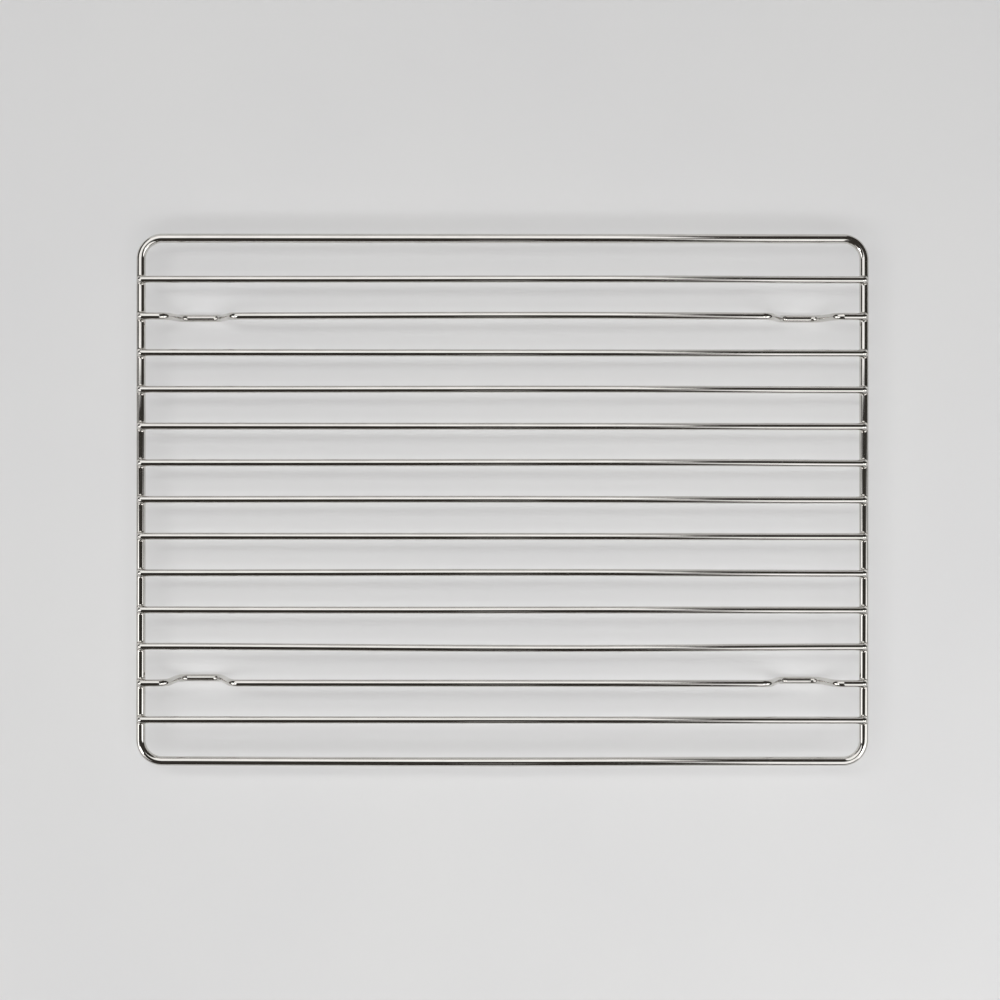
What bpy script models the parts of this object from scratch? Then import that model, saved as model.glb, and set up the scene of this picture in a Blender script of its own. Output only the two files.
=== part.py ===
"""Cooling rack: a closed rim wire, thirteen wires welded across it, and four feet.

Metres, +Z up. The origin is on the ground below the middle of the rack. +X runs
along the cross wires and -Y is the front. The feet aren't pieces of their own:
two of the cross wires are bent down and up again near both of their ends.
"""

import math

import bmesh
import bpy
from mathutils import Matrix, Vector

# The whole rack.
RACK_LENGTH = 0.380  # over the rim, along the cross wires
RACK_WIDTH = 0.276  # over the rim, across the cross wires
RACK_HEIGHT = 0.0254  # ground to the top of the cross wires

# The wires.
RIM_RADIUS = 0.0024
CROSS_RADIUS = 0.0019
RIM_CORNER_RADIUS = 0.011  # of the rim's bends, on the middle of the wire
CROSS_COUNT = 13
CROSS_PITCH = 0.019
CROSS_END_INSET = 0.0008  # from the rim's outer edge in to a cross wire's end
END_ROUNDING = 0.0007  # of a cross wire's cut end
SET_DOWN = 0.0013  # how deep welding presses a cross wire into the rim

# The feet, bent into the second wire from the front and from the back. Each is a
# trapezium that hangs below the wire, given by its corners' distance from the middle.
FOOT_WIRES = (2, CROSS_COUNT - 1)
FOOT_OUTER_TOP = 0.1732
FOOT_OUTER_BOTTOM = 0.1686
FOOT_INNER_BOTTOM = 0.1470
FOOT_INNER_TOP = 0.1394
FOOT_BEND_RADIUS = 0.0060

# The rim's two ends are butt welded near the middle of the front bar.
BUTT_WELD_X = 0.0054
BUTT_WELD_THICKNESS = 0.0008
BUTT_WELD_ROUNDING = 0.0002

# The bead of metal that welding squeezes out round each crossing, measured from the
# rim's centre line: +X is towards the middle of the rack.
BEAD_CENTRE = Vector((0.0005, 0.0, 0.0017))
BEAD_RADII = Vector((0.0030, 0.0038, 0.0024))
BEAD_SEGMENTS = 14
BEAD_RINGS = 8

# Room between pieces that touch.
SEAT_GAP = 0.0003
BEAD_GAP = 0.00015

# Facets.
WIRE_SIDES = 12  # a multiple of 4, so that flats face up, down and out
CORNER_STEPS = 6
FOOT_BEND_STEPS = 5
CUTTER_SIDES = 16
END_STEPS = 2

# Worked out from the above.
FLAT_TO_CORNER = 1 / math.cos(math.pi / WIRE_SIDES)
CROSS_Z = RACK_HEIGHT - CROSS_RADIUS
RIM_Z = CROSS_Z - (RIM_RADIUS + CROSS_RADIUS - SET_DOWN)
RIM_HALF_LENGTH = RACK_LENGTH / 2 - RIM_RADIUS
RIM_HALF_WIDTH = RACK_WIDTH / 2 - RIM_RADIUS
CROSS_HALF_LENGTH = RACK_LENGTH / 2 - CROSS_END_INSET
BUTT_HALF_GAP = BUTT_WELD_THICKNESS / 2 + SEAT_GAP

STEEL_COLOR = (0.78, 0.77, 0.75, 1.0)
WELD_COLOR = (0.66, 0.64, 0.61, 1.0)


def clear_scene():
    for obj in list(bpy.data.objects):
        bpy.data.objects.remove(obj, do_unlink=True)


def steel(name, color, roughness):
    material = bpy.data.materials.new(name)
    material.use_nodes = True
    shader = material.node_tree.nodes["Principled BSDF"]
    shader.inputs["Base Color"].default_value = color
    shader.inputs["Metallic"].default_value = 1.0
    shader.inputs["Roughness"].default_value = roughness
    return material


def add_object(name, mesh, location=(0, 0, 0), turn=0.0):
    """A named object for a mesh or a curve, turned about Z."""
    obj = bpy.data.objects.new(name, mesh)
    obj.location = location
    obj.rotation_euler.z = turn
    bpy.context.collection.objects.link(obj)
    return obj


def evaluated_mesh(obj):
    """The object's shape with its modifiers applied, as a mesh of its own."""
    depsgraph = bpy.context.evaluated_depsgraph_get()
    depsgraph.update()
    return bpy.data.meshes.new_from_object(obj.evaluated_get(depsgraph))


def shade_round(mesh):
    """Round faces shaded smooth, with the edges of flat ends kept sharp."""
    mesh.shade_smooth()
    mesh.set_sharp_from_angle(angle=math.radians(40))


def rounded_path(corners, radius, steps):
    """The points of a path of straight runs, with an arc at each inner corner."""
    points = [corners[0]]
    for before, corner, after in zip(corners, corners[1:], corners[2:]):
        arriving = (corner - before).normalized()
        leaving = (after - corner).normalized()
        turn = arriving.angle(leaving)
        run_in = radius * math.tan(turn / 2)
        axis = arriving.cross(leaving).normalized()
        start = corner - arriving * run_in
        centre = start + axis.cross(arriving) * radius
        for step in range(steps + 1):
            swing = Matrix.Rotation(turn * step / steps, 3, axis)
            points.append(centre + swing @ (start - centre))
    points.append(corners[-1])
    return points


def wire_curve(name, points, radius):
    """A wire along the points, as a curve with a round bevel and closed ends."""
    curve = bpy.data.curves.new(name, "CURVE")
    curve.dimensions = "3D"
    curve.bevel_depth = radius * FLAT_TO_CORNER
    curve.bevel_resolution = (WIRE_SIDES - 4) // 2
    curve.use_fill_caps = True
    spline = curve.splines.new("POLY")
    spline.points.add(len(points) - 1)
    for place, point in zip(spline.points, points):
        place.co = (*point, 1.0)
        place.tilt = math.pi / WIRE_SIDES
    return add_object(name, curve)


def wire_mesh(name, points, radius, end_rounding):
    """The same wire as a mesh, with the edges of its cut ends rounded over."""
    blank = wire_curve(name + "_blank", points, radius)
    mesh = evaluated_mesh(blank)
    bpy.data.objects.remove(blank, do_unlink=True)
    mesh.name = name
    shape = bmesh.new()
    shape.from_mesh(mesh)
    bmesh.ops.remove_doubles(shape, verts=shape.verts, dist=1e-6)
    if end_rounding:
        ends = [face for face in shape.faces if len(face.verts) == WIRE_SIDES]
        edges = list({edge for face in ends for edge in face.edges})
        bmesh.ops.bevel(
            shape,
            geom=edges,
            offset=end_rounding,
            segments=END_STEPS,
            profile=0.5,
            affect="EDGES",
        )
    shape.to_mesh(mesh)
    shape.free()
    return mesh


def cylinder_cutter(name, radius, length, place):
    """A many-sided bar whose flats lie on the radius, placed by a matrix."""
    mesh = bpy.data.meshes.new(name)
    shape = bmesh.new()
    outer = radius / math.cos(math.pi / CUTTER_SIDES)
    bmesh.ops.create_cone(
        shape,
        cap_ends=True,
        segments=CUTTER_SIDES,
        radius1=outer,
        radius2=outer,
        depth=length,
    )
    shape.transform(place)
    shape.to_mesh(mesh)
    shape.free()
    cutter = add_object(name, mesh)
    cutter.hide_render = True
    cutter.display_type = "WIRE"
    return cutter


def cut_mesh(name, mesh, cutters):
    """The mesh with every cutter taken out of it. The cutters are used up."""
    blank = add_object(name + "_blank", mesh)
    for cutter in cutters:
        cut = blank.modifiers.new("cut", "BOOLEAN")
        cut.operation = "DIFFERENCE"
        cut.solver = "EXACT"
        cut.object = cutter
    result = evaluated_mesh(blank)
    result.name = name
    for used in (blank, *cutters):
        bpy.data.objects.remove(used, do_unlink=True)
    shade_round(result)
    return result


def rim_seats():
    """Cutters for the seats that the rim's two side bars press into a cross wire."""
    radius = RIM_RADIUS * FLAT_TO_CORNER + SEAT_GAP
    upright = Matrix.Rotation(math.pi / 2, 4, "X")
    return [
        cylinder_cutter(
            f"seat_cutter_{side}",
            radius,
            RIM_RADIUS * 6,
            Matrix.Translation((side * RIM_HALF_LENGTH, 0, RIM_Z)) @ upright,
        )
        for side in (-1, 1)
    ]


def straight_wire_mesh():
    ends = [Vector((side * CROSS_HALF_LENGTH, 0, CROSS_Z)) for side in (-1, 1)]
    wire = wire_mesh("straight_wire", ends, CROSS_RADIUS, END_ROUNDING)
    return cut_mesh("straight_wire", wire, rim_seats())


def foot_wire_mesh():
    """A cross wire with a trapezium bent down near each end, to stand on."""
    foot_z = CROSS_RADIUS
    left_half = [
        Vector((-CROSS_HALF_LENGTH, 0, CROSS_Z)),
        Vector((-FOOT_OUTER_TOP, 0, CROSS_Z)),
        Vector((-FOOT_OUTER_BOTTOM, 0, foot_z)),
        Vector((-FOOT_INNER_BOTTOM, 0, foot_z)),
        Vector((-FOOT_INNER_TOP, 0, CROSS_Z)),
    ]
    right_half = [Vector((-p.x, 0, p.z)) for p in reversed(left_half)]
    points = rounded_path(left_half + right_half, FOOT_BEND_RADIUS, FOOT_BEND_STEPS)
    wire = wire_mesh("foot_wire", points, CROSS_RADIUS, END_ROUNDING)
    return cut_mesh("foot_wire", wire, rim_seats())


def rim_mesh():
    """The rim: one wire bent round four corners, its ends facing on the front bar."""
    x, y = RIM_HALF_LENGTH, RIM_HALF_WIDTH
    corners = [
        Vector((BUTT_WELD_X + BUTT_HALF_GAP, -y, RIM_Z)),
        Vector((x, -y, RIM_Z)),
        Vector((x, y, RIM_Z)),
        Vector((-x, y, RIM_Z)),
        Vector((-x, -y, RIM_Z)),
        Vector((BUTT_WELD_X - BUTT_HALF_GAP, -y, RIM_Z)),
    ]
    points = rounded_path(corners, RIM_CORNER_RADIUS, CORNER_STEPS)
    mesh = wire_mesh("rim_wire", points, RIM_RADIUS, 0)
    shade_round(mesh)
    return mesh


def butt_weld_mesh():
    """A thin disc of weld metal, ground flush with the wire, with rounded edges."""
    mesh = bpy.data.meshes.new("rim_butt_weld")
    shape = bmesh.new()
    bmesh.ops.create_cone(
        shape,
        cap_ends=True,
        segments=CUTTER_SIDES,
        radius1=RIM_RADIUS,
        radius2=RIM_RADIUS,
        depth=BUTT_WELD_THICKNESS,
    )
    ends = [face for face in shape.faces if len(face.verts) == CUTTER_SIDES]
    edges = list({edge for face in ends for edge in face.edges})
    bmesh.ops.bevel(
        shape,
        geom=edges,
        offset=BUTT_WELD_ROUNDING,
        segments=END_STEPS,
        profile=0.5,
        affect="EDGES",
    )
    shape.transform(Matrix.Rotation(math.pi / 2, 4, "Y"))
    shape.to_mesh(mesh)
    shape.free()
    shade_round(mesh)
    return mesh


def bead_mesh():
    """The bead round one crossing: a flattened ball, hollowed by the two wires."""
    ball = bpy.data.meshes.new("weld_ball")
    shape = bmesh.new()
    bmesh.ops.create_uvsphere(
        shape, u_segments=BEAD_SEGMENTS, v_segments=BEAD_RINGS, radius=1.0
    )
    flatten = Matrix.Diagonal((*BEAD_RADII, 1.0))
    shape.transform(Matrix.Translation(BEAD_CENTRE) @ flatten)
    shape.to_mesh(ball)
    shape.free()

    rim_cutter = cylinder_cutter(
        "bead_rim_cutter",
        RIM_RADIUS * FLAT_TO_CORNER + BEAD_GAP,
        RIM_RADIUS * 6,
        Matrix.Rotation(math.pi / 2, 4, "X"),
    )
    wire_length = RACK_HEIGHT
    wire_end = -(RIM_RADIUS - CROSS_END_INSET) - BEAD_GAP
    to_wire = Matrix.Translation((wire_end + wire_length / 2, 0, CROSS_Z - RIM_Z))
    wire_cutter = cylinder_cutter(
        "bead_wire_cutter",
        CROSS_RADIUS * FLAT_TO_CORNER + BEAD_GAP,
        wire_length,
        to_wire @ Matrix.Rotation(math.pi / 2, 4, "Y"),
    )
    return cut_mesh("weld_bead", ball, [rim_cutter, wire_cutter])


def build():
    clear_scene()
    wire_steel = steel("wire_steel", STEEL_COLOR, 0.12)
    weld_steel = steel("weld_steel", WELD_COLOR, 0.25)

    rim = rim_mesh()
    rim.materials.append(wire_steel)
    add_object("rim_wire", rim)
    butt_weld = butt_weld_mesh()
    butt_weld.materials.append(weld_steel)
    add_object("rim_butt_weld", butt_weld, (BUTT_WELD_X, -RIM_HALF_WIDTH, RIM_Z))

    straight = straight_wire_mesh()
    straight.materials.append(wire_steel)
    footed = foot_wire_mesh()
    footed.materials.append(wire_steel)
    bead = bead_mesh()
    bead.materials.append(weld_steel)

    # Number 1 is the cross wire next to the front bar.
    for number in range(1, CROSS_COUNT + 1):
        y = (number - (CROSS_COUNT + 1) / 2) * CROSS_PITCH
        if number in FOOT_WIRES:
            end = "front" if y < 0 else "back"
            add_object(f"foot_wire_{end}", footed, (0, y, 0))
        else:
            add_object(f"cross_wire_{number:02d}", straight, (0, y, 0))
        for side, turn in (("left", 0.0), ("right", math.pi)):
            x = -RIM_HALF_LENGTH * math.cos(turn)
            add_object(f"weld_{side}_{number:02d}", bead, (x, y, RIM_Z), turn)


build()
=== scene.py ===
"""The cooling rack's looks: smooth bent wires, fused welds, polished steel and soft light.

Metres, +Z up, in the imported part's own frame: +X runs along the cross wires and -Y is the
front. One smooth piece stands for each node of the CAD model, at its size and place.
"""

import math
import random

import bmesh
import bpy
import numpy as np
from mathutils import Euler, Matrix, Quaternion, Vector


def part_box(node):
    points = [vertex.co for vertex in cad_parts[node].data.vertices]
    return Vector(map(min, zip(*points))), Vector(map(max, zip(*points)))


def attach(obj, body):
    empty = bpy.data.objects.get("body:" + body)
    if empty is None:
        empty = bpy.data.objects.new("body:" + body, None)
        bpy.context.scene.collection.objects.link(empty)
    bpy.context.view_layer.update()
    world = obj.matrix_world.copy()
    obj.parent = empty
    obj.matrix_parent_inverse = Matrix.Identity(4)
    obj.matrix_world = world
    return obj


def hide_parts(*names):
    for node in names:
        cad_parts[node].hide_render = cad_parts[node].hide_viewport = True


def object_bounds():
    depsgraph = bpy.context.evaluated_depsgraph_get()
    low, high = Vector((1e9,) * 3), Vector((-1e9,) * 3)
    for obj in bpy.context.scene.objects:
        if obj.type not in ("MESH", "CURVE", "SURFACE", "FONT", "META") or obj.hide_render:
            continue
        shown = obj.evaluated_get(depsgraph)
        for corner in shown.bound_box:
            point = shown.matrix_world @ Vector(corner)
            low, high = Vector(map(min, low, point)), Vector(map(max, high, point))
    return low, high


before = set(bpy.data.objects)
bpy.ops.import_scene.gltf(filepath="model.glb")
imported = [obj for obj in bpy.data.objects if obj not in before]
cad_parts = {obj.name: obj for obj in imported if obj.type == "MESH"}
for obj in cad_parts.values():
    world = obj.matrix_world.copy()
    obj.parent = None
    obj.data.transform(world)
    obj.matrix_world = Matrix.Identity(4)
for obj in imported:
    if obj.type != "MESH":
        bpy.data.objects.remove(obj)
cad_low, cad_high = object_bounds()

MM = 0.001

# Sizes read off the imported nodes.
rim_low, rim_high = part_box("rim_wire")
wire_low, wire_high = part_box("cross_wire_01")
RIM_RADIUS = (rim_high.z - rim_low.z) / 2
RIM_Z = (rim_high.z + rim_low.z) / 2
RIM_HALF_LENGTH = rim_high.x - RIM_RADIUS
RIM_HALF_WIDTH = rim_high.y - RIM_RADIUS
WIRE_RADIUS = (wire_high.y - wire_low.y) / 2
WIRE_Z = cad_high.z - WIRE_RADIUS
WIRE_HALF_LENGTH = wire_high.x
WIRE_COUNT = sum("cross_wire" in name or "foot_wire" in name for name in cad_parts)
FOOT_WIRES = {2: "foot_wire_front", WIRE_COUNT - 1: "foot_wire_back"}

# Bends, which the nodes' boxes don't give.
RIM_CORNER_RADIUS = 11 * MM
# Outer top, outer bottom, inner bottom and inner top bend of a left and a right foot, in mm
# from the middle.
FOOT_BENDS = {-1: (173.8, 170.2, 148.3, 140.2), 1: (172.5, 167.0, 145.6, 138.6)}
FOOT_BEND_RADIUS = 6.0 * MM
# How far the left and the right foot of each foot wire lean to the back, in mm.
FOOT_LEANS = {"foot_wire_front": (1.1, 0.0), "foot_wire_back": (0.5, 0.4)}

# How far a wire bows to the back, and where along X it does so most, in mm. The other cross
# wires are straight.
FRONT_BAR_BOW = (-0.42, -20)
STRAIGHT = (0, 0)
WIRE_BOWS = {
    3: (-1.0, 30),
    4: (-0.2, -59),
    5: (0.35, 30),
    7: (0.25, -10),
    8: (0.3, 110),
    10: (0.3, 50),
    12: (0.5, 30),
    13: (0.3, 80),
}

# The rounding of a cross wire's cut ends, and how much longer than a quarter circle it is.
END_ROUNDING = 0.94 * WIRE_RADIUS
END_STRETCH = 1.6

# The fillet of weld metal at a crossing. Its radius differs a little from weld to weld, and
# its hidden edge lies this share of the wire's radius inside the wires.
FILLET_RADII = (0.75, 1.1)
FILLET_BURY = 0.35
# Angles on the rim, from the top, that lie inside the fillet and beyond its two ends.
FILLET_INSIDE = 0.2
FILLET_BEYOND = (-2.2, 2.6)
FILLET_HALVINGS = 40

# How far the rim's butt weld stands off the wire, and the share of that below the surface.
BUTT_PROUD = 0.008 * MM
BUTT_SUNK = 0.25

# How finely the round shapes are cut.
RIM_SIDES = 56
WIRE_SIDES = 48
RUN_STEP = 3 * MM
BEND_STEP = math.radians(5)
END_STEPS = 12
BUTT_STEPS = 8
FILLET_STEPS_ROUND = 72
FILLET_STEPS_ACROSS = 8
SHARP_EDGE = math.radians(60)

# Shifts along the grain that make each wire's and each weld's marks its own.
WIRE_SHIFT = 1.37
WELD_SHIFT = 0.31
RANDOM_SEED = 7

# ---------------------------------------------------------------- paths of the wires


def straight_run(start, end):
    """Points from start up to, but not including, end."""
    steps = max(1, math.ceil((end - start).length / RUN_STEP))
    return [start.lerp(end, step / steps) for step in range(steps)]


def rounded_path(corners, radius):
    """The points of a wire bent to one radius at every inner corner."""
    points = []
    here = corners[0]
    for before, corner, after in zip(corners, corners[1:], corners[2:]):
        arriving = (corner - before).normalized()
        leaving = (after - corner).normalized()
        turn = arriving.angle(leaving)
        start = corner - arriving * radius * math.tan(turn / 2)
        inward = (leaving - arriving * arriving.dot(leaving)).normalized()
        centre = start + inward * radius
        points += straight_run(here, start)
        steps = math.ceil(turn / BEND_STEP)
        for step in range(steps + 1):
            angle = turn * step / steps
            here = centre + radius * (arriving * math.sin(angle) - inward * math.cos(angle))
            if step < steps:
                points.append(here)
    return points + straight_run(here, corners[-1]) + [corners[-1]]


def bowed(point, bow, peak):
    """A point pushed sideways in Y by a smooth bow, which is greatest at x = peak, all in mm."""
    away = point.x - peak * MM
    reach = WIRE_HALF_LENGTH - math.copysign(peak * MM, away)
    share = 0.5 + 0.5 * math.cos(math.pi * min(1.0, abs(away) / reach))
    return point + Vector((0, bow * MM * share, 0))


def rim_points(joint):
    """The rim's path, from the butt weld at x = joint round to it again."""
    x, y = RIM_HALF_LENGTH, RIM_HALF_WIDTH
    turns = ((joint, -y), (x, -y), (x, y), (-x, y), (-x, -y), (joint, -y))
    path = rounded_path([Vector((*turn, RIM_Z)) for turn in turns], RIM_CORNER_RADIUS)
    front = -y + 0.001 * MM
    return [bowed(point, *FRONT_BAR_BOW) if point.y < front else point for point in path]


def straight_points(y):
    return rounded_path([Vector((side * WIRE_HALF_LENGTH, y, WIRE_Z)) for side in (-1, 1)], 0)


def foot_points(node, y):
    """A foot wire's path. Each foot leans back by its own small amount."""
    halves = []
    for side, lean in zip((-1, 1), FOOT_LEANS[node]):
        low_y = y + lean * MM
        outer_top, outer_bottom, inner_bottom, inner_top = (
            side * bend * MM for bend in FOOT_BENDS[side]
        )
        halves.append([
            Vector((side * WIRE_HALF_LENGTH, y, WIRE_Z)),
            Vector((outer_top, y, WIRE_Z)),
            Vector((outer_bottom, low_y, WIRE_RADIUS)),
            Vector((inner_bottom, low_y, WIRE_RADIUS)),
            Vector((inner_top, y, WIRE_Z)),
        ])
    return rounded_path(halves[0] + halves[1][::-1], FOOT_BEND_RADIUS)


# ---------------------------------------------------------------- meshes


def circle(sides):
    """The cosine and the sine of each of the angles that cut a circle into equal sides."""
    turn = np.arange(sides) / sides * 2 * math.pi
    return np.stack([np.cos(turn), np.sin(turn)], axis=1)


def new_piece(name, vertices, faces, wire_space, material):
    """A smooth mesh object. wire_space holds each vertex's place on a straightened wire."""
    mesh = bpy.data.meshes.new(name)
    mesh.from_pydata([tuple(v) for v in vertices], [], faces)
    shape = bmesh.new()
    shape.from_mesh(mesh)
    bmesh.ops.recalc_face_normals(shape, faces=shape.faces)
    shape.to_mesh(mesh)
    shape.free()
    mesh.shade_smooth()
    mesh.set_sharp_from_angle(angle=SHARP_EDGE)
    attribute = mesh.attributes.new("wire_space", "FLOAT_VECTOR", "POINT")
    attribute.data.foreach_set("vector", np.asarray(wire_space, np.float32).ravel())
    mesh.materials.append(material)
    piece = bpy.data.objects.new(name, mesh)
    bpy.context.scene.collection.objects.link(piece)
    return piece


def ring_faces(rings, sides, closed_loop=False):
    """Quads that join each ring of vertices to the next."""
    faces = []
    for ring in range(rings if closed_loop else rings - 1):
        a, b = ring * sides, (ring + 1) % rings * sides
        for side in range(sides):
            after = (side + 1) % sides
            faces.append((a + side, b + side, b + after, a + after))
    return faces


def closed_tube(name, vertices, wire_space, sides, material):
    """A piece whose vertices are rings along a wire, closed by a flat face at each end."""
    faces = ring_faces(len(vertices) // sides, sides)
    faces.append(tuple(range(sides)))
    faces.append(tuple(range(len(vertices) - sides, len(vertices))))
    return new_piece(name, vertices, faces, wire_space, material)


def tube(name, points, radius, sides, flat_axis, material, end_rounding=0.0, shift=0.0):
    """A round wire along the points, which all lie square to flat_axis or nearly so."""
    points = np.array([tuple(p) for p in points])
    ahead = np.gradient(points, axis=0)
    ahead[0], ahead[-1] = points[1] - points[0], points[-1] - points[-2]
    ahead /= np.linalg.norm(ahead, axis=1)[:, None]
    steps = np.linalg.norm(np.diff(points, axis=0), axis=1)
    length = np.concatenate([[0], np.cumsum(steps)])
    radii = np.full(len(points), radius)
    if end_rounding:
        bends = np.linspace(0, math.pi / 2, END_STEPS + 1)
        reach = end_rounding * END_STRETCH
        back = reach * (1 - np.sin(bends))
        inset = radius - end_rounding * (1 - np.cos(bends))
        keep = (length > reach) & (length < length[-1] - reach)
        head = points[0] + ahead[0] * back[::-1, None]
        tail = points[-1] - ahead[-1] * back[:, None]
        radii = np.concatenate([inset[::-1], radii[keep], inset])
        head_ahead = np.repeat(ahead[:1], len(head), 0)
        tail_ahead = np.repeat(ahead[-1:], len(tail), 0)
        ahead = np.concatenate([head_ahead, ahead[keep], tail_ahead])
        length = np.concatenate([back[::-1], length[keep], length[-1] - back])
        points = np.concatenate([head, points[keep], tail])
    side_axis = np.cross(np.asarray(flat_axis, float), ahead)
    side_axis /= np.linalg.norm(side_axis, axis=1)[:, None]
    up_axis = np.cross(ahead, side_axis)
    rings = radii[:, None, None] * circle(sides)[None]
    vertices = (
        points[:, None]
        + rings[..., 0, None] * side_axis[:, None]
        + rings[..., 1, None] * up_axis[:, None]
    )
    wire_space = np.zeros_like(vertices)
    wire_space[..., 0] = length[:, None] + shift
    wire_space[..., 1:] = rings
    return closed_tube(name, vertices.reshape(-1, 3), wire_space.reshape(-1, 3), sides, material)


def weld_fillet(name, side, y, roll, shift, material):
    """The smooth metal round one crossing, as a ball of radius roll leaves it when it rolls
    along both wires. side is -1 on the left bar and 1 on the right one."""
    rise = WIRE_Z - RIM_Z
    # The middle of the cross wire's rounded end, measured inwards from the rim bar's middle.
    dome = -(WIRE_HALF_LENGTH - RIM_HALF_LENGTH) + WIRE_RADIUS
    reach_rim, reach_wire = RIM_RADIUS + roll, WIRE_RADIUS + roll

    def room(angle):
        """The square of how far to the side the ball's centre is, at this angle on the rim."""
        x, z = reach_rim * math.sin(angle), reach_rim * math.cos(angle)
        return reach_wire**2 - (z - rise) ** 2 - min(0.0, x - dome) ** 2

    def limit(outside):
        """The angle where the ball touches both wires in the cross wire's own plane."""
        inside = FILLET_INSIDE
        for _ in range(FILLET_HALVINGS):
            middle = (inside + outside) / 2
            if room(middle) > 0:
                inside = middle
            else:
                outside = middle
        return inside

    low, high = map(limit, FILLET_BEYOND)
    vertices, wire_space = [], []
    for cosine, sine in circle(FILLET_STEPS_ROUND):
        angle = (low + high) / 2 + (high - low) / 2 * cosine
        x, z = reach_rim * math.sin(angle), reach_rim * math.cos(angle)
        across = math.copysign(math.sqrt(max(0.0, room(angle))), sine)
        centre = Vector((x, across, z))
        on_rim = Vector((x, 0, z)) * (RIM_RADIUS / reach_rim) + Vector((0, across, 0))
        axis_point = Vector((max(x, dome), 0, rise))
        on_wire = axis_point + (centre - axis_point) * (WIRE_RADIUS / reach_wire)
        from_rim, from_wire = (on_rim - centre).normalized(), (on_wire - centre).normalized()
        spread = from_rim.angle(from_wire)
        ring = []
        for part in range(FILLET_STEPS_ACROSS + 1):
            share = part / FILLET_STEPS_ACROSS
            rim_share, wire_share = math.sin((1 - share) * spread), math.sin(share * spread)
            direction = (from_rim * rim_share + from_wire * wire_share) / math.sin(spread)
            ring.append(centre + direction * roll)
        ring.append(on_wire + from_wire * FILLET_BURY * WIRE_RADIUS)
        ring.append(on_rim + from_rim * FILLET_BURY * WIRE_RADIUS)
        for point in ring:
            # The right bar's fillet is the left bar's turned half round.
            place = Vector((-side * point.x, -side * point.y, point.z))
            vertices.append(place + Vector((side * RIM_HALF_LENGTH, y, RIM_Z)))
            wire_space.append((shift + point.x, point.y, point.z))
    faces = ring_faces(FILLET_STEPS_ROUND, len(ring), closed_loop=True)
    return new_piece(name, vertices, faces, wire_space, material)


# ---------------------------------------------------------------- materials


class Nodes:
    """Adds shader nodes to one material or light and links them."""

    def __init__(self, owner, shader="Principled BSDF"):
        self.owner = owner
        owner.use_nodes = True
        self.tree = owner.node_tree
        self.shader = self.tree.nodes[shader]

    def add(self, kind, inputs=(), **settings):
        node = self.tree.nodes.new("ShaderNode" + kind)
        for setting, value in settings.items():
            setattr(node, setting, value)
        for socket, value in dict(inputs).items():
            self.feed(node, socket, value)
        return node

    def feed(self, node, socket, value):
        if isinstance(value, bpy.types.NodeSocket):
            self.tree.links.new(value, node.inputs[socket])
        else:
            node.inputs[socket].default_value = value

    def surface(self, **inputs):
        """Sets the shader's inputs, whose names are written with _ for each space."""
        for name, value in inputs.items():
            self.feed(self.shader, name.replace("_", " "), value)

    def noise(self, space, stretch, detail, roughness=0.55):
        """Noise whose grain measures 1 / stretch metres along each axis of the space."""
        scaled = self.add("VectorMath", {0: space, 1: stretch}, operation="MULTIPLY")
        return self.add(
            "TexNoise",
            {"Vector": scaled.outputs[0], "Scale": 1.0, "Detail": detail, "Roughness": roughness},
        ).outputs["Fac"]

    def ramp(self, value, low, high, to_low=0.0, to_high=1.0, **settings):
        ends = {"From Min": low, "From Max": high, "To Min": to_low, "To Max": to_high}
        return self.add("MapRange", {"Value": value, **ends}, **settings).outputs["Result"]

    def blend(self, share, first, second):
        mix = self.add("Mix", {"Factor": share}, data_type="RGBA")
        self.feed(mix, 6, first)
        self.feed(mix, 7, second)
        return mix.outputs[2]

    def plus(self, first, second):
        return self.add("Math", {0: first, 1: second}, operation="ADD").outputs[0]

    def times(self, first, second):
        return self.add("Math", {0: first, 1: second}, operation="MULTIPLY").outputs[0]

    def bump(self, height, depth, normal=None):
        inputs = {"Height": height, "Distance": depth, "Strength": 1.0}
        if normal is not None:
            inputs["Normal"] = normal
        return self.add("Bump", inputs).outputs["Normal"]


# The marks on the steel: their number per metre along and across the wire, and their detail.
DRAWING_LINES = ((30, 2600, 2600), 4.0)
WORN_PATCHES = ((55, 260, 260), 3.0)
SWELLS = ((70, 190, 190), 1.0)
SCRATCHES = ((420, 5200, 5200), 2.0)
PITS = ((1500, 1500, 1500), 1.0)

# How much rougher a drawing line, a scratch and a pit are, and how deep a line and a mark are.
LINE_ROUGH = 0.05
SCRATCH_ROUGH = 0.16
PIT_ROUGH = 0.25
LINE_DEPTH = 0.0012 * MM
MARK_DEPTH = 0.003 * MM

STEEL_BRIGHT = (0.69, 0.674, 0.645, 1.0)
STEEL_DULL = (0.62, 0.604, 0.575, 1.0)
WELD_BRIGHT = (0.69, 0.667, 0.63, 1.0)
WELD_DULL = (0.61, 0.583, 0.54, 1.0)
FLOOR_COLOR = (0.76, 0.76, 0.76, 1.0)
FLOOR_COLOR_DEEP = (0.74, 0.74, 0.745, 1.0)
FLOOR_GRAIN = ((900, 900, 900), 4.0)
FLOOR_CLOUDS = ((6, 6, 6), 2.0)


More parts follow.
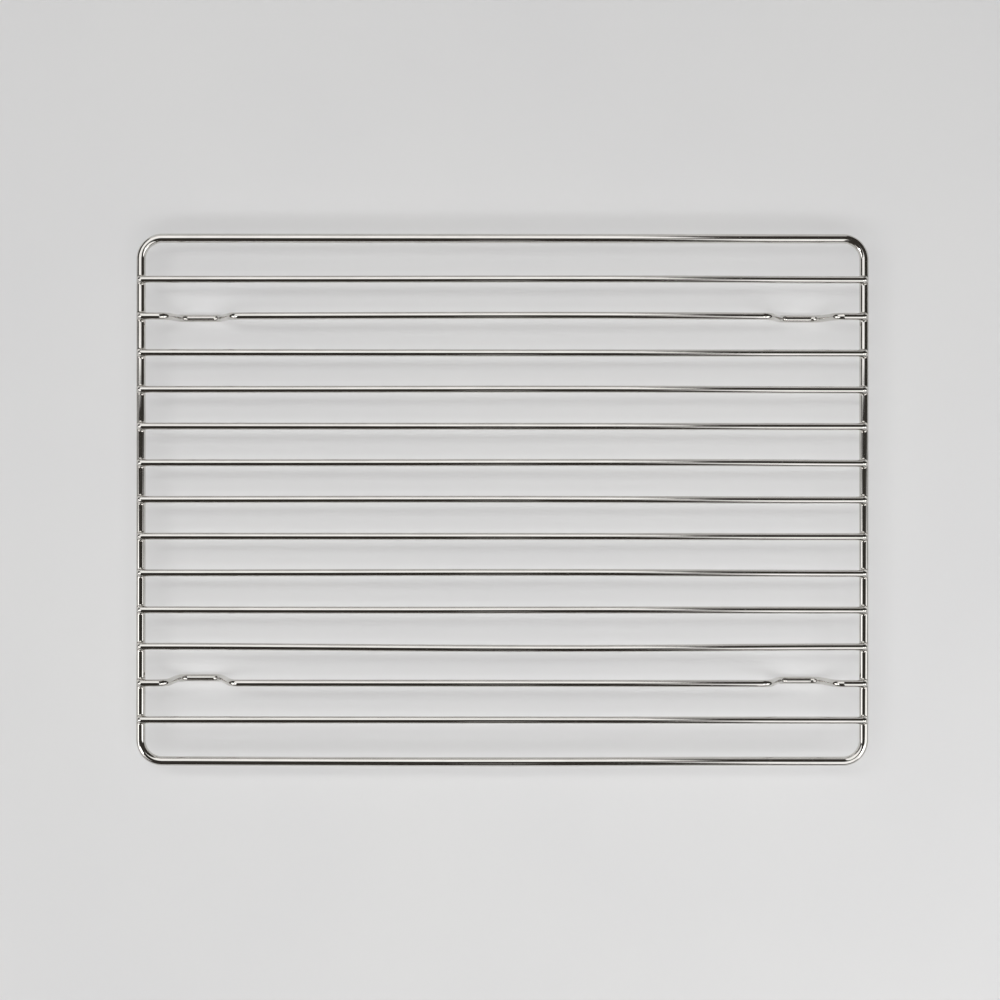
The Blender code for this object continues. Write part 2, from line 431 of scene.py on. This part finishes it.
def polished_steel(name, bright, dull, roughness, swell_depth):
    """Mirror-polished wire: long drawing lines, fine scratches, soft swells and a few pits.
    roughness is that of the bright and of the worn metal."""
    n = Nodes(bpy.data.materials.new(name))
    space = n.add("Attribute", attribute_name="wire_space").outputs["Vector"]
    lines = n.noise(space, *DRAWING_LINES)
    patches = n.noise(space, *WORN_PATCHES)
    scratches = n.ramp(n.noise(space, *SCRATCHES), 0.70, 0.78)
    pits = n.ramp(n.noise(space, *PITS), 0.76, 0.84)

    worn = n.plus(n.ramp(patches, 0.35, 0.7), n.ramp(lines, 0.4, 0.8, 0.0, 0.5))
    rough = n.ramp(patches, 0.3, 0.75, *roughness)
    rough = n.plus(rough, n.ramp(lines, 0.45, 0.8, 0.0, LINE_ROUGH))
    rough = n.plus(rough, n.times(scratches, SCRATCH_ROUGH))
    rough = n.plus(rough, n.times(pits, PIT_ROUGH))
    normal = n.bump(n.noise(space, *SWELLS), swell_depth)
    normal = n.bump(lines, LINE_DEPTH, normal)
    normal = n.bump(n.plus(pits, scratches), -MARK_DEPTH, normal)
    n.surface(
        Base_Color=n.blend(worn, bright, dull), Roughness=rough, Metallic=1.0, Normal=normal
    )
    return n.owner


def pale_floor():
    """A matt floor with a fine grain and faint clouds."""
    n = Nodes(bpy.data.materials.new("pale_floor"))
    place = n.add("NewGeometry").outputs["Position"]
    grain = n.ramp(n.noise(place, *FLOOR_GRAIN), 0.3, 0.7, -0.01, 0.01)
    clouds = n.ramp(n.noise(place, *FLOOR_CLOUDS), 0.3, 0.7)
    color = n.blend(n.plus(grain, clouds), FLOOR_COLOR, FLOOR_COLOR_DEEP)
    n.surface(Base_Color=color, Roughness=0.85, Specular_IOR_Level=0.2)
    return n.owner


# ---------------------------------------------------------------- the rack


def place(piece, node, slot):
    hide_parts(node)
    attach(piece, "root")


def build_rack():
    wire_steel = polished_steel("wire_steel", STEEL_BRIGHT, STEEL_DULL, (0.03, 0.07), 0.02 * MM)
    ground_steel = polished_steel("ground_steel", STEEL_BRIGHT, STEEL_DULL, (0.06, 0.11), 0.02 * MM)
    weld_steel = polished_steel("weld_steel", WELD_BRIGHT, WELD_DULL, (0.10, 0.18), 0.06 * MM)

    butt_low, butt_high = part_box("rim_butt_weld")
    butt_middle = (butt_low + butt_high) / 2
    rim = tube("rim", rim_points(butt_middle.x), RIM_RADIUS, RIM_SIDES, (0, 0, 1), wire_steel)
    place(rim, "rim_wire", "polished_wire")

    random.seed(RANDOM_SEED)
    for number in range(1, WIRE_COUNT + 1):
        node = FOOT_WIRES.get(number, f"cross_wire_{number:02d}")
        low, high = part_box(node)
        y = (low.y + high.y) / 2
        points = foot_points(node, y) if number in FOOT_WIRES else straight_points(y)
        points = [bowed(point, *WIRE_BOWS.get(number, STRAIGHT)) for point in points]
        wire = tube(
            node + "_smooth",
            points,
            WIRE_RADIUS,
            WIRE_SIDES,
            (0, 1, 0),
            wire_steel,
            END_ROUNDING,
            number * WIRE_SHIFT,
        )
        place(wire, node, "polished_wire")
        for side, word in ((-1, "left"), (1, "right")):
            roll = random.uniform(*FILLET_RADII) * MM
            shift = number * WELD_SHIFT + side
            weld = weld_fillet(f"fillet_{word}_{number:02d}", side, y, roll, shift, weld_steel)
            place(weld, f"weld_{word}_{number:02d}", "weld_metal")

    build_butt_weld(butt_middle, (butt_high.x - butt_low.x) / 2, ground_steel)


def build_butt_weld(middle, half, material):
    """The rim's butt weld: a band that swells a few microns proud where it was ground."""
    middle = bowed(middle, *FRONT_BAR_BOW)
    vertices, wire_space = [], []
    for step in range(-BUTT_STEPS, BUTT_STEPS + 1):
        along = half * step / BUTT_STEPS
        swell = 0.5 + 0.5 * math.cos(math.pi * step / BUTT_STEPS)
        radius = RIM_RADIUS + BUTT_PROUD * (swell - BUTT_SUNK)
        for y, z in circle(RIM_SIDES) * radius:
            vertices.append(middle + Vector((along, y, z)))
            wire_space.append((along, y, z))
    piece = closed_tube("butt_weld_smooth", vertices, wire_space, RIM_SIDES, material)
    place(piece, "rim_butt_weld", "weld_metal")


# ---------------------------------------------------------------- room, light and camera

CAMERA_HEIGHT = 1.2
VIEW_WIDTH_ON_FLOOR = 528.0 * MM
CAMERA_OFFSET = Vector((-1.24 * MM, -0.11 * MM, 0))
CAMERA_ROLL = math.radians(0.045)
SENSOR = 36

ROOM_RADIUS = 20
ROOM_COLOR = (0.046, 0.0415, 0.037, 1)
FLOOR_SEGMENTS = 64
BACKDROP_SEGMENTS = (64, 32)
BACKDROP_RADIUS = 0.99 * ROOM_RADIUS
BACKDROP_FOOT = -0.15 * ROOM_RADIUS
# How brightly the backdrop shows at the floor, and at the height where it stops changing.
BACKDROP_GLOW = (0.34, 0.62)
BACKDROP_FADE = 0.3 * ROOM_RADIUS

DOWN, LEFT, RIGHT, FORWARD = (0, 0, -1), (-1, 0, 0), (1, 0, 0), (0, -1, 0)

# What the wires mirror: name, middle, size, glow, facing, turn in degrees, soft edge.
PANELS = (
    ("ceiling_back_left", (-1.0, 1.67, 2.0), (2.64, 3.1), 1.3, DOWN, 0, 0.03),
    ("ceiling_front_right", (2.02, -2.25, 2.0), (3.3, 4.2), 1.3, DOWN, 7, 0.05),
    ("ceiling_front_left", (-3.2, -1.6, 2.0), (3.0, 3.3), 1.3, DOWN, 0, 0.06),
    ("wall_right", (3.4, -1.8, 2.0), (4.0, 2.2), 1.3, LEFT, 0, 0.12),
    ("wall_left", (-4.0, -1.7, 2.0), (4.4, 2.2), 1.3, RIGHT, 0, 0.18),
    ("wall_back", (-0.7, 3.4, 1.0), (4.0, 2.0), 0.7, FORWARD, 0, 0.1),
    ("patch_front", (0.0, -2.2, 1.9), (0.16, 1.2), 0.35, DOWN, 0, 0.2),
    ("lamp_left", (-1.25, -0.75, 1.72), (0.3, 0.5), 8, (0.8, 0.5, -1), 0, 0.1),
    ("lamp_right", (0.6, -0.37, 1.14), (0.14, 0.14), 8, (-0.5, 0.3, -1), 0, 0.1),
)

# What lights the floor: name, middle, size, glow, soft edge, whether it casts shadows.
FLOOR_LIGHTS = (
    ("strip", (-0.48, 0.33, 1.34), (1.22, 0.25), 3.9, 0.1, True),
    ("front", (-0.2, -0.65, 1.6), (2.4, 0.9), 2.1, 0.15, True),
    ("fill_right", (0.9, -0.6, 0.9), (0.5, 0.5), 8.4, 0.15, False),
)
EVEN_LIGHT = 1.26  # watts per square metre, all over the floor and without a shadow


def pale_backdrop():
    """A plain wall of light that is a little darker towards the floor."""
    n = Nodes(bpy.data.materials.new("pale_backdrop"))
    height = n.add("SeparateXYZ", {0: n.add("NewGeometry").outputs["Position"]}).outputs["Z"]
    n.surface(
        Base_Color=(0, 0, 0, 1),
        Specular_IOR_Level=0.0,
        Emission_Color=(1, 1, 1, 1),
        Emission_Strength=n.ramp(height, 0.0, BACKDROP_FADE, *BACKDROP_GLOW),
    )
    return n.owner


def add_light(name, lamp):
    light = bpy.data.objects.new(name, lamp)
    bpy.context.scene.collection.objects.link(light)
    return light


def soft_panel(name, centre, size, glow, facing, turn, edge):
    """A lit panel of size (width, depth) that faces one way. glow is how bright it looks,
    where white is 1, and its light fades over the given share of each side."""
    lamp = bpy.data.lights.new(name, "AREA")
    lamp.shape = "RECTANGLE"
    lamp.size, lamp.size_y = size
    lamp.energy = glow * math.pi * size[0] * size[1]
    n = Nodes(lamp, "Emission")
    split = n.add("SeparateXYZ", {0: n.add("NewGeometry").outputs["Parametric"]})
    strength = 1.0
    for along in split.outputs[:2]:
        for low, high in ((0.0, edge), (1.0, 1.0 - edge)):
            fade = n.ramp(along, low, high, interpolation_type="SMOOTHSTEP")
            strength = n.times(strength, fade)
    n.surface(Strength=strength)
    panel = add_light(name, lamp)
    panel.location = centre
    aim = Vector(facing).to_track_quat("-Z", "Y")
    panel.rotation_euler = (aim @ Quaternion((0, 0, 1), math.radians(turn))).to_euler()
    return panel


def stage_object(name, shape, material):
    mesh = bpy.data.meshes.new(name)
    shape.to_mesh(mesh)
    shape.free()
    mesh.materials.append(material)
    piece = bpy.data.objects.new(name, mesh)
    bpy.context.scene.collection.objects.link(piece)
    return piece


def build_room():
    """A floor inside a pale dome, dim light all round, and the lamps."""
    ground = bmesh.new()
    bmesh.ops.create_circle(ground, cap_ends=True, segments=FLOOR_SEGMENTS, radius=ROOM_RADIUS)
    stage_object("floor", ground, pale_floor())

    dome = bmesh.new()
    columns, rows = BACKDROP_SEGMENTS
    bmesh.ops.create_uvsphere(dome, u_segments=columns, v_segments=rows, radius=BACKDROP_RADIUS)
    below = [v for v in dome.verts if v.co.z < BACKDROP_FOOT]
    bmesh.ops.delete(dome, geom=below, context="VERTS")
    backdrop = stage_object("backdrop", dome, pale_backdrop())
    # The steel mirrors the dim room instead, and the backdrop lights and shades nothing.
    backdrop.visible_glossy = backdrop.visible_diffuse = backdrop.visible_shadow = False

    world = bpy.data.worlds.new("room")
    world.use_nodes = True
    world.node_tree.nodes["Background"].inputs["Color"].default_value = ROOM_COLOR
    bpy.context.scene.world = world

    sun = bpy.data.lights.new("even", "SUN")
    sun.energy = EVEN_LIGHT
    sun.use_shadow = False
    add_light("even", sun).visible_glossy = False

    for panel in PANELS:
        soft_panel(*panel).visible_diffuse = False
    for name, centre, size, glow, edge, casts in FLOOR_LIGHTS:
        light = soft_panel(name, centre, size, glow, DOWN, 0, edge)
        light.data.use_shadow = casts
        light.visible_glossy = False


def build_camera():
    """A camera straight above the rack."""
    data = bpy.data.cameras.new("camera")
    data.sensor_width = SENSOR
    data.lens = SENSOR * CAMERA_HEIGHT / VIEW_WIDTH_ON_FLOOR
    camera = bpy.data.objects.new("camera", data)
    camera.location = CAMERA_OFFSET + Vector((0, 0, CAMERA_HEIGHT))
    camera.rotation_euler = Euler((0, 0, CAMERA_ROLL))
    bpy.context.scene.collection.objects.link(camera)
    bpy.context.scene.camera = camera
    bpy.context.scene.view_settings.view_transform = "Standard"


build_rack()
build_room()
build_camera()
